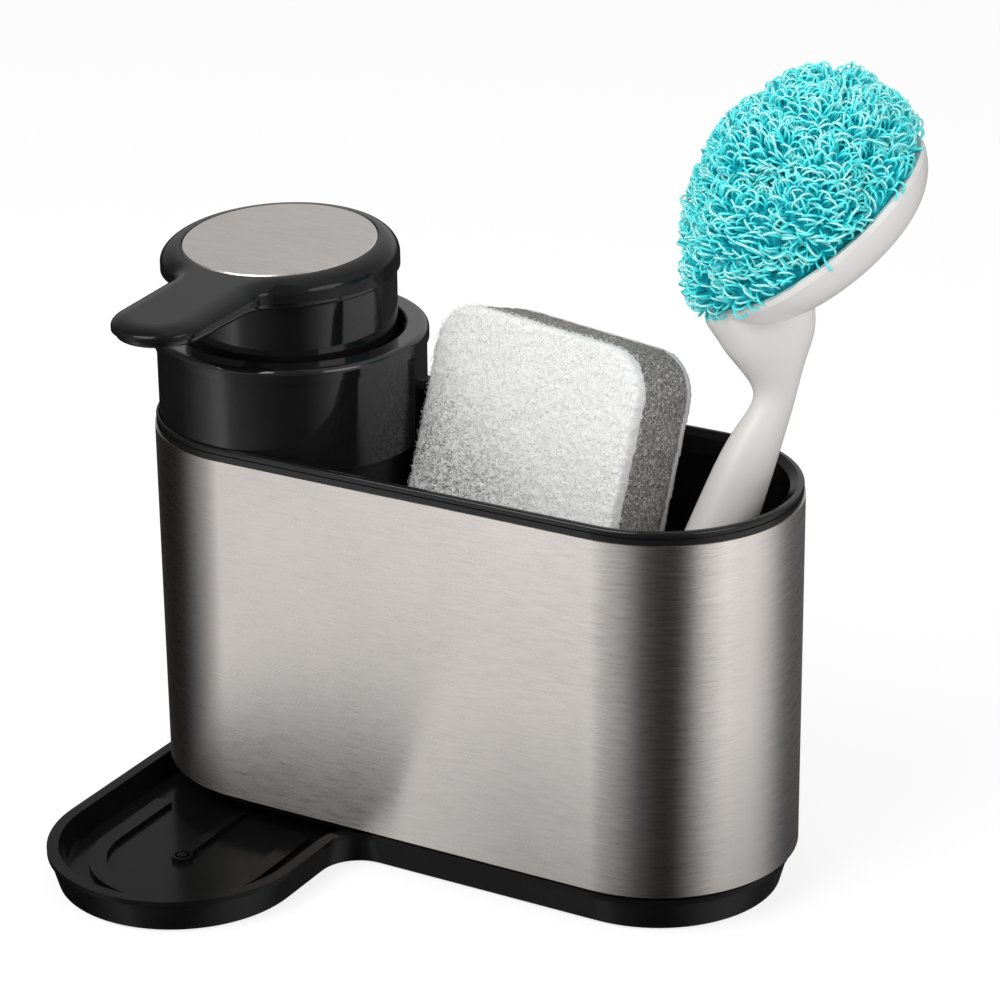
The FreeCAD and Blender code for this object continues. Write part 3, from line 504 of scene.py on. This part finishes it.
def looped_fibre(name, shaded_root, middle, highlight_tip):
    """Shiny plastic thread, with painted shade that darkens its root and a painted highlight that pales
    the crown of each loop.
    """
    made, tree, shader = new_finish(name)
    height = add(tree, "ShaderNodeAttribute", attribute_name="loop_painted_light")
    tint = add(tree, "ShaderNodeAttribute", attribute_name="loop_tint")
    tone = with_share(tree, height.outputs["Fac"], tint.outputs["Fac"], loop_tint_share)
    # Painted shade at the root and painted highlight at the crown
    stops = [(0.1, shaded_root), (0.6, middle), (0.97, highlight_tip)]
    tree.links.new(shade(tree, tone, stops), shader.inputs["Base Color"])
    sheen = grain(tree, size=0.8 * mm, detail=1.0)
    tree.links.new(spread(tree, sheen, 0.22, 0.36), shader.inputs["Roughness"])
    shader.inputs["Specular IOR Level"].default_value = 0.5
    return made


def packed_fibre(name, dark, light):
    made, tree, shader = new_finish(name)
    knot = grain(tree, size=1.6 * mm, detail=3.0)
    tree.links.new(two_tone(tree, knot, dark, light), shader.inputs["Base Color"])
    shader.inputs["Roughness"].default_value = 0.7
    relief(tree, shader, knot, depth=0.8 * mm, strength=0.8)
    return made


shell_black = moulded_black(
    "shell_black", dark=0.007, light=0.010, gloss=0.05, dull=0.09, specular=0.32)
head_black = moulded_black(
    "head_black", dark=0.007, light=0.010, gloss=0.05, dull=0.09, specular=0.22)
collar_black = moulded_black(
    "collar_black", dark=0.007, light=0.010, gloss=0.04, dull=0.07, specular=0.60)
tub_black = moulded_black(
    "tub_black", dark=0.0045, light=0.007, gloss=0.30, dull=0.42, specular=0.25)
# The tray's black is darker than the shell's by painted shade
tray_shaded_black = moulded_black(
    "tray_shaded_black", dark=0.004, light=0.0065, gloss=0.14, dull=0.22, specular=0.09)
sleeve_steel = brushed_steel(
    "sleeve_steel", stretch=(130.0, 130.0, 2600.0), dark=(0.66, 0.625, 0.595),
    light=(0.77, 0.73, 0.70), low=12.5 * mm, high=116.7 * mm, drawn=1.0)
plate_steel = brushed_steel(
    "plate_steel", stretch=(120.0, 2600.0, 120.0), dark=(0.61, 0.58, 0.56),
    light=(0.72, 0.685, 0.66), low=100.0 * mm, high=150.0 * mm, drawn=0.0)
spring_bright = bright_wire("spring_bright")
# The handle's grip is made greyer by painted shade
handle_pale = pale_moulding(
    "handle_pale", dark=(0.825, 0.81, 0.79), light=(0.88, 0.865, 0.845),
    gloss=0.28, dull=0.40, painted_shade_grey=0.70)
pump_pale = pale_moulding(
    "pump_pale", dark=(0.74, 0.75, 0.75), light=(0.82, 0.83, 0.83),
    gloss=0.24, dull=0.36, painted_shade_grey=1.0)
foot_rubber = pad_rubber("foot_rubber")
scour_white = white_fleece("scour_white", dark=0.80, light=0.97)
fibre_white = white_fleece("fibre_white", dark=0.90, light=0.97)
foam_grey = open_foam("foam_grey")
sheet_pale = woven_sheet("sheet_pale")
# Loop colours carry painted shade at the root and a painted highlight on the crown; the lower under
# loops get a dimmer painted highlight
loop_turquoise = looped_fibre(
    "loop_turquoise", shaded_root=(0.004, 0.70, 0.80), middle=(0.065, 0.94, 0.97), highlight_tip=(0.46, 0.99, 0.99))
under_turquoise = looped_fibre(
    "under_turquoise", shaded_root=(0.005, 0.66, 0.76), middle=(0.04, 0.90, 0.95), highlight_tip=(0.14, 0.96, 0.97))
# The core is the same fibre as the loops; its darker teal is painted shade for the deep gaps in the
# pile
core_teal = packed_fibre("core_teal", dark=(0.004, 0.40, 0.48), light=(0.012, 0.66, 0.76))

finish_of_slot = {
    "black_plastic": shell_black,
    "steel": sleeve_steel,
    "rubber": foot_rubber,
    "clear_plastic": pump_pale,
    "spring_steel": spring_bright,
    "white_scour": scour_white,
    "grey_foam": foam_grey,
    "pale_sheet": sheet_pale,
    "pale_plastic": handle_pale,
    "turquoise_fibre": core_teal,
}
finish_of_part = {
    "liner": tub_black,
    "base_tray": tray_shaded_black,
    "head_plate": plate_steel,
    "head_cap": head_black,
    "head_base": collar_black,
    "screw_collar": collar_black,
    "bottle": collar_black,
}


def dress_parts():
    for name, part in parts.items():
        slot = part.material_slots[0]
        slot.material = finish_of_part.get(name, finish_of_slot[slot.material.name])


# Meshes
def merged_copy(part):
    mesh = part.data.copy()
    edit = bmesh.new()
    edit.from_mesh(mesh)
    bmesh.ops.remove_doubles(edit, verts=edit.verts, dist=0.001 * mm)
    edit.to_mesh(mesh)
    edit.free()
    return mesh


def plain_mesh(holder):
    """The holder's shape with its modifiers done, as a mesh of its own."""
    view = bpy.context.evaluated_depsgraph_get()
    mesh = bpy.data.meshes.new_from_object(holder.evaluated_get(view))
    holder.modifiers.clear()
    return mesh


def smooth(mesh):
    mesh.polygons.foreach_set("use_smooth", [True] * len(mesh.polygons))
    mesh.update()


def side_of(mesh, keep):
    """A copy of a mesh with only the faces that a test keeps."""
    copy = mesh.copy()
    edit = bmesh.new()
    edit.from_mesh(copy)
    dropped = [face for face in edit.faces if not keep(face)]
    bmesh.ops.delete(edit, geom=dropped, context="FACES")
    edit.to_mesh(copy)
    edit.free()
    return copy


def finished(piece, body):
    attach(piece, body)


# Piles grown from a surface
def new_tree(name, sizes):
    """Node tree that takes a surface and named sizes, and gives a pile."""
    tree = bpy.data.node_groups.new(name, "GeometryNodeTree")
    tree.interface.new_socket("Surface", in_out="INPUT", socket_type="NodeSocketGeometry")
    for size in sizes:
        kind = "NodeSocketInt" if size == "Seed" else "NodeSocketFloat"
        tree.interface.new_socket(size, in_out="INPUT", socket_type=kind)
    tree.interface.new_socket("Pile", in_out="OUTPUT", socket_type="NodeSocketGeometry")
    return tree, add(tree, "NodeGroupInput"), add(tree, "NodeGroupOutput")


def random_number(tree, low, high, seed):
    choose = add(tree, "FunctionNodeRandomValue", data_type="FLOAT")
    choose.inputs[2].default_value = low
    choose.inputs[3].default_value = high
    choose.inputs["Seed"].default_value = seed
    return choose.outputs[1]


def scatter(tree, given, end, thread, finish, lean, tilt, combing, scales):
    """Set a thread on a surface at even spacing, laid over by about a lean and turned within a range.

    The combing is that range to either side, and half a turn is no combing at all.
    """
    link = tree.links.new
    spots = add(tree, "GeometryNodeDistributePointsOnFaces", distribute_method="POISSON")
    spots.inputs["Density Max"].default_value = most_threads
    link(given.outputs["Surface"], spots.inputs["Mesh"])
    link(given.outputs["Spacing"], spots.inputs["Distance Min"])
    link(given.outputs["Seed"], spots.inputs["Seed"])
    angles = add(tree, "ShaderNodeCombineXYZ")
    turn = random_number(tree, math.pi - combing, math.pi + combing, spin_seed)
    link(random_number(tree, lean - tilt, lean + tilt, lean_seed), angles.inputs["X"])
    link(random_number(tree, -tilt, tilt, tilt_seed), angles.inputs["Y"])
    link(turn, angles.inputs["Z"])
    spin = add(tree, "FunctionNodeEulerToRotation")
    link(angles.outputs["Vector"], spin.inputs["Euler"])
    stand = add(tree, "FunctionNodeRotateRotation", rotation_space="LOCAL")
    link(spots.outputs["Rotation"], stand.inputs["Rotation"])
    link(spin.outputs["Rotation"], stand.inputs["Rotate By"])
    planted = add(tree, "GeometryNodeInstanceOnPoints")
    link(spots.outputs["Points"], planted.inputs["Points"])
    link(thread, planted.inputs["Instance"])
    link(stand.outputs["Rotation"], planted.inputs["Rotation"])
    link(random_number(tree, *scales, scale_seed), planted.inputs["Scale"])
    tint = add(tree, "GeometryNodeStoreNamedAttribute", data_type="FLOAT", domain="INSTANCE")
    tint.inputs["Name"].default_value = "loop_tint"
    link(planted.outputs["Instances"], tint.inputs["Geometry"])
    link(random_number(tree, -1.0, 1.0, tint_seed), tint.inputs["Value"])
    real = add(tree, "GeometryNodeRealizeInstances")
    link(tint.outputs["Geometry"], real.inputs["Geometry"])
    paint = add(tree, "GeometryNodeSetMaterial")
    paint.inputs["Material"].default_value = finish
    link(real.outputs["Geometry"], paint.inputs["Geometry"])
    link(paint.outputs["Geometry"], end.inputs["Pile"])


def thread_along(tree, curve, wire_radius, sides):
    profile = add(tree, "GeometryNodeCurvePrimitiveCircle")
    profile.inputs["Resolution"].default_value = sides
    tree.links.new(wire_radius, profile.inputs["Radius"])
    tube = add(tree, "GeometryNodeCurveToMesh")
    tree.links.new(curve, tube.inputs["Curve"])
    tree.links.new(profile.outputs["Curve"], tube.inputs["Profile Curve"])
    return tube.outputs["Mesh"]


def rounded(tree, thread):
    even = add(tree, "GeometryNodeSetShadeSmooth")
    tree.links.new(thread, even.inputs["Geometry"])
    return even.outputs["Geometry"]


def loop_tree(name, finish, lean, tilt, combing):
    """Loops of thread on a surface, each most of a turn of a coil, drawn out and laid over."""
    sizes = ["Spacing", "Loop radius", "Wire radius", "Stretch", "Seed"]
    tree, given, end = new_tree(name, sizes)
    link = tree.links.new
    radius = given.outputs["Loop radius"]
    coil = add(tree, "GeometryNodeCurveSpiral")
    coil.inputs["Resolution"].default_value = loop_points
    coil.inputs["Rotations"].default_value = loop_turns
    link(radius, coil.inputs["Start Radius"])
    link(radius, coil.inputs["End Radius"])
    link(times(tree, radius, loop_pitch), coil.inputs["Height"])
    up = add(tree, "GeometryNodeTransform")
    up.inputs["Rotation"].default_value = loop_stand
    link(coil.outputs["Curve"], up.inputs["Geometry"])
    size = add(tree, "ShaderNodeCombineXYZ")
    size.inputs["X"].default_value = 1.0
    size.inputs["Y"].default_value = 1.0
    link(given.outputs["Stretch"], size.inputs["Z"])
    lift = add(tree, "ShaderNodeCombineXYZ")
    link(radius, lift.inputs["Z"])
    tall = add(tree, "GeometryNodeTransform")
    link(up.outputs["Geometry"], tall.inputs["Geometry"])
    link(size.outputs["Vector"], tall.inputs["Scale"])
    link(lift.outputs["Vector"], tall.inputs["Translation"])
    thread = thread_along(tree, tall.outputs["Geometry"], given.outputs["Wire radius"], loop_sides)
    place = add(tree, "GeometryNodeInputPosition")
    split = add(tree, "ShaderNodeSeparateXYZ")
    link(place.outputs["Position"], split.inputs["Vector"])
    share = add(tree, "ShaderNodeMath", operation="DIVIDE")
    link(split.outputs["Z"], share.inputs[0])
    link(radius, share.inputs[1])
    # The thread's height in the pile, which drives its painted shade at the root and painted highlight
    # at the crown
    height = spread(tree, share.outputs["Value"], 0.0, 1.0, 0.0, loop_crown)
    marked = add(tree, "GeometryNodeStoreNamedAttribute", data_type="FLOAT", domain="POINT")
    marked.inputs["Name"].default_value = "loop_painted_light"
    link(thread, marked.inputs["Geometry"])
    link(height, marked.inputs["Value"])
    loop = rounded(tree, marked.outputs["Geometry"])
    scatter(tree, given, end, loop, finish, lean, tilt, combing, loop_scales)
    return tree


def fibre_tree(name, finish):
    """Short bent fibres on a surface, lying every way."""
    tree, given, end = new_tree(name, ["Spacing", "Bend radius", "Wire radius", "Seed"])
    link = tree.links.new
    bend = add(tree, "GeometryNodeCurveArc")
    bend.inputs["Resolution"].default_value = fibre_points
    bend.inputs["Start Angle"].default_value = fibre_start
    bend.inputs["Sweep Angle"].default_value = fibre_sweep
    link(given.outputs["Bend radius"], bend.inputs["Radius"])
    up = add(tree, "GeometryNodeTransform")
    up.inputs["Rotation"].default_value = (fibre_rise, 0.0, 0.0)
    link(bend.outputs["Curve"], up.inputs["Geometry"])
    drop = add(tree, "ShaderNodeCombineXYZ")
    link(times(tree, given.outputs["Bend radius"], fibre_sink), drop.inputs["Z"])
    low = add(tree, "GeometryNodeTransform")
    link(up.outputs["Geometry"], low.inputs["Geometry"])
    link(drop.outputs["Vector"], low.inputs["Translation"])
    thread = thread_along(tree, low.outputs["Geometry"], given.outputs["Wire radius"], fibre_sides)
    fibre = rounded(tree, thread)
    scatter(tree, given, end, fibre, finish, 0.0, fibre_tilt, math.pi, fibre_scales)
    return tree


def grown(name, surface, tree, sizes):
    """Grow a pile on a surface, and keep it as a plain mesh."""
    holder = put(name, surface)
    pile = holder.modifiers.new("pile", "NODES")
    pile.node_group = tree
    for socket in tree.interface.items_tree:
        if socket.in_out == "INPUT" and socket.name in sizes:
            pile[socket.identifier] = sizes[socket.name]
    holder.data = plain_mesh(holder)
    smooth(holder.data)
    return holder


# Steel wrap
def make_sleeve():
    """The steel wrap, with its shine running on from the flat sides into the round ends."""
    mesh = merged_copy(parts["steel_sleeve"])
    if "custom_normal" in mesh.attributes:
        mesh.attributes.remove(mesh.attributes["custom_normal"])
    edit = bmesh.new()
    edit.from_mesh(mesh)
    for edge in edit.edges:
        edge.smooth = edge.calc_face_angle(math.pi) < sharp_edge
    edit.to_mesh(mesh)
    edit.free()
    smooth(mesh)
    sleeve = put("sleeve_skin", mesh)
    shine = sleeve.modifiers.new("even_shine", "WEIGHTED_NORMAL")
    shine.weight = 100
    shine.keep_sharp = True
    sleeve.data = plain_mesh(sleeve)
    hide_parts("steel_sleeve")
    finished(sleeve, "caddy")


# Pump
def make_spring():
    """The return spring, which on the real pump shortens as the head is pressed; here it is a smooth
    copy that rides with the pump unit.
    """
    coil = put("spring_coil", merged_copy(parts["return_spring"]))
    smooth(coil.data)
    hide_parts("return_spring")
    finished(coil, "pump_unit")
    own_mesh(coil)


# Sponge
def soft_layer(name, part_name, voxel, lump, lump_size, finish):
    """A sponge layer with an even skin, lumped all over by a little noise."""
    layer = put(name, merged_copy(parts[part_name]))
    even = layer.modifiers.new("even_skin", "REMESH")
    even.mode = "VOXEL"
    even.voxel_size = voxel
    layer.data = plain_mesh(layer)
    mesh = layer.data
    outward = [vertex.normal.copy() for vertex in mesh.vertices]
    for vertex, normal in zip(mesh.vertices, outward):
        spot = vertex.co / lump_size
        rise = noise.noise(spot) + small_lump_share * noise.noise(spot * small_lump_ratio)
        vertex.co += normal * (lump * rise)
    mesh.materials.clear()
    mesh.materials.append(finish)
    smooth(mesh)
    return layer


def grow_fibres(face):
    """Fibres on the fleece's front and edges."""
    to_back = turned(sponge_yaw, sponge_lean).to_3x3() @ Vector((0.0, 1.0, 0.0))
    open_side = side_of(face.data, lambda side: side.normal.dot(to_back) < open_side_limit)
    sizes = {
        "Spacing": fibre_spacing,
        "Bend radius": fibre_bend,
        "Wire radius": fibre_radius,
        "Seed": fibre_seed,
    }
    return grown("scour_fibres", open_side, fibre_tree("fleece_fibres", fibre_white), sizes)


def make_sponge():
    face = soft_layer(
        "scour_fleece", "sponge_scour_face", fleece_voxel, fleece_lump, fleece_lump_size, scour_white)
    foam = soft_layer("foam_body", "sponge_foam", foam_voxel, foam_lump, foam_lump_size, foam_grey)
    sheet = soft_layer(
        "back_sheet", "sponge_back_sheet", sheet_voxel, sheet_lump, sheet_lump_size, sheet_pale)
    fibres = grow_fibres(face)
    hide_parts("sponge_scour_face")
    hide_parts("sponge_foam")
    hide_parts("sponge_back_sheet")
    finished(face, "sponge")
    finished(fibres, "sponge")
    finished(foam, "sponge")
    finished(sheet, "sponge")


# Scourer
def dish_place():
    brush = Matrix.Translation(brush_foot) @ turned(brush_yaw, brush_lean)
    tilt = Matrix.Rotation(math.radians(-dish_tilt), 4, "Y")
    facing = Matrix.Rotation(math.radians(dish_facing), 4, "X")
    return brush @ Matrix.Translation(dish_centre) @ tilt @ facing


def skin_distance(direction):
    """How far the scourer's outer skin is from its middle, with bulges, creases and folds."""
    angles = [direction.angle(bulge) for bulge in bulges]
    weights = [math.exp(-(angle / bulge_spread) ** 2) for angle in angles]
    reach = sum(weight * bulge.length for weight, bulge in zip(weights, bulges)) / sum(weights) * mm
    first, second = sorted(angles)[:2]
    crease = crease_depth * (1.0 - min((second - first) / crease_width, 1.0)) ** 2
    tuft = tuft_fold_depth * math.exp(-(direction.angle(tuft_fold) / fold_width) ** 2)
    side = side_fold_depth * math.exp(-(direction.angle(side_fold) / fold_width) ** 2)
    return reach * (1.0 - crease) - tuft - side


def make_core():
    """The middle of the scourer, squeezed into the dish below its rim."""
    edit = bmesh.new()
    bmesh.ops.create_icosphere(edit, subdivisions=core_divisions, radius=1.0)
    place = dish_place()
    for vertex in edit.verts:
        direction = vertex.co.normalized()
        ripple = core_ripple * noise.noise(direction * core_ripple_rate)
        spot = direction * (skin_distance(direction) - pile_depth + ripple) + scourer_middle
        if spot.z < dish_rim:
            across = math.hypot(spot.x, spot.y)
            squeeze = min(1.0, dish_inside / max(across, least_reach))
            spot = Vector((spot.x * squeeze, spot.y * squeeze, max(spot.z, dish_floor)))
        vertex.co = place @ spot
    mesh = bpy.data.meshes.new("scourer_core")
    edit.to_mesh(mesh)
    edit.free()
    mesh.materials.append(core_teal)
    smooth(mesh)
    return put("scourer_core", mesh)


def clear_of_rim(spot):
    """Whether a loop that stands here stays off the dish's rim and out of the fold by the tuft."""
    out_of_fold = (spot - scourer_middle).angle(tuft_fold) > fold_opening
    return out_of_fold and spot.z > rim_gap + rim_gap_slope * max(spot.x, 0.0)


def core_side(core, lift):
    """The core's faces on which loops grow, tested as if they were lifted off the rim a little."""
    to_dish = dish_place().inverted()
    raised = Vector((0.0, 0.0, lift))
    return side_of(
        core.data, lambda face: clear_of_rim(to_dish @ face.calc_center_median() + raised))


def make_scourer():
    core = make_core()
    crown_sizes = {
        "Spacing": loop_spacing,
        "Loop radius": loop_radius,
        "Wire radius": loop_wire,
        "Stretch": loop_stretch,
        "Seed": loop_seed,
    }
    crown_tree = loop_tree("crown_loops", loop_turquoise, loop_lean, loop_tilt, loop_combing)
    crown = grown("scourer_loops", core_side(core, 0.0), crown_tree, crown_sizes)
    under_sizes = {
        "Spacing": under_spacing,
        "Loop radius": under_radius,
        "Wire radius": loop_wire,
        "Stretch": under_stretch,
        "Seed": under_seed,
    }
    under_tree = loop_tree("under_loops", under_turquoise, under_lean, under_tilt, under_combing)
    under = grown("scourer_under_loops", core_side(core, under_gap), under_tree, under_sizes)
    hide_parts("scourer_ball")
    for piece in (core, crown, under):
        finished(piece, "brush")


# Studio
def seen_by_camera(tree):
    """1 on rays from the camera, straight or through something clear, and else 0."""
    path = add(tree, "ShaderNodeLightPath")
    seen = add(tree, "ShaderNodeMath", operation="MAXIMUM")
    tree.links.new(path.outputs["Is Camera Ray"], seen.inputs[0])
    tree.links.new(path.outputs["Is Transmission Ray"], seen.inputs[1])
    return seen.outputs["Value"]


def mixed_shader(tree, first, second, share):
    mix = add(tree, "ShaderNodeMixShader")
    tree.links.new(share, mix.inputs["Fac"])
    tree.links.new(first, mix.inputs[1])
    tree.links.new(second, mix.inputs[2])
    return mix.outputs["Shader"]


def matt_card(tree, level):
    card = add(tree, "ShaderNodeBsdfDiffuse")
    card.inputs["Color"].default_value = (*grey(level), 1.0)
    return card.outputs["BSDF"]


def make_floor():
    """A pale floor that the camera sees as nearly white, with the object's shadow on it."""
    half = floor_size / 2.0
    corners = [
        (-half, -half, -floor_drop),
        (half, -half, -floor_drop),
        (half, half, -floor_drop),
        (-half, half, -floor_drop),
    ]
    mesh = bpy.data.meshes.new("floor")
    mesh.from_pydata(corners, [], [(0, 1, 2, 3)])
    floor = put("floor", mesh)
    floor.visible_glossy = False
    made = bpy.data.materials.new("pale_floor")
    made.use_nodes = True
    tree = made.node_tree
    tree.nodes.clear()
    glow = add(tree, "ShaderNodeEmission")
    glow.inputs["Color"].default_value = (*grey(1.0), 1.0)
    glow.inputs["Strength"].default_value = floor_glow
    shown = add(tree, "ShaderNodeAddShader")
    tree.links.new(matt_card(tree, floor_shown_grey), shown.inputs[0])
    tree.links.new(glow.outputs["Emission"], shown.inputs[1])
    surface = mixed_shader(
        tree, matt_card(tree, floor_grey), shown.outputs["Shader"], seen_by_camera(tree))
    end = add(tree, "ShaderNodeOutputMaterial")
    tree.links.new(surface, end.inputs["Surface"])
    mesh.materials.append(made)


def card_ring(tree, turn, cards):
    """Brightness of the cards along a turn round the object, which is 0 and 1 at the back."""
    return shade(tree, turn, [((angle + 180.0) / 360.0, grey(level)) for angle, level in cards])


def sky(tree, strength):
    made = add(tree, "ShaderNodeBackground")
    made.inputs["Color"].default_value = (*grey(1.0), 1.0)
    made.inputs["Strength"].default_value = strength
    return made


def make_studio():
    """White all round for the camera, soft light, and cards round the object for shiny surfaces."""
    world = bpy.data.worlds.new("studio")
    scene.world = world
    world.use_nodes = True
    tree = world.node_tree
    tree.nodes.clear()
    link = tree.links.new
    way = axes(tree, "Generated")
    angle = add(tree, "ShaderNodeMath", operation="ARCTAN2")
    link(way["X"], angle.inputs[0])
    link(times(tree, way["Y"], -1.0), angle.inputs[1])
    turn = spread(tree, angle.outputs["Value"], 0.0, 1.0, -math.pi, math.pi)
    rise = spread(tree, way["Z"], 0.0, 1.0, low_cards_end, high_cards_start)
    shiny = sky(tree, 1.0)
    cards = mixed(tree, card_ring(tree, turn, low_cards), card_ring(tree, turn, high_cards), rise)
    link(cards, shiny.inputs["Color"])
    soft = sky(tree, soft_light)
    white = sky(tree, background_white)
    path = add(tree, "ShaderNodeLightPath")
    glossy = mixed_shader(
        tree, soft.outputs["Background"], shiny.outputs["Background"], path.outputs["Is Glossy Ray"])
    shown = mixed_shader(tree, glossy, white.outputs["Background"], seen_by_camera(tree))
    end = add(tree, "ShaderNodeOutputWorld")
    link(shown, end.inputs["Surface"])


def make_lamp(name, azimuth, elevation, distance, size, share):
    """Soft lamp aimed at the object. Its share is the brightness it gives a white surface facing it."""
    lamp = bpy.data.lights.new(name, "AREA")
    lamp.shape = "DISK"
    lamp.size = size
    lamp.energy = share * math.pi * math.pi * distance ** 2
    back = way_to(azimuth, elevation)
    facing = back.to_track_quat("Z", "Y").to_matrix().to_4x4()
    put(name, lamp).matrix_world = Matrix.Translation(camera_target + back * distance) @ facing


def make_camera():
    turn = math.radians(camera_azimuth)
    roll = math.radians(camera_roll)
    back = way_to(camera_azimuth, camera_elevation)
    right = Vector((math.cos(turn), math.sin(turn), 0.0))
    up = back.cross(right)
    right_rolled = right * math.cos(roll) + up * math.sin(roll)
    up_rolled = up * math.cos(roll) - right * math.sin(roll)
    facing = Matrix((right_rolled, up_rolled, back)).transposed().to_4x4()
    lens = bpy.data.cameras.new("camera")
    lens.lens = camera_lens
    lens.sensor_width = camera_sensor
    camera = put("camera", lens)
    camera.matrix_world = Matrix.Translation(camera_target + back * camera_distance) @ facing
    scene.camera = camera


make_camera()
dress_parts()
make_sleeve()
make_spring()
make_sponge()
make_scourer()
make_floor()
make_studio()
for lamp_name, settings in lamps.items():
    make_lamp(lamp_name, **settings)
scene.view_settings.view_transform = "Standard"
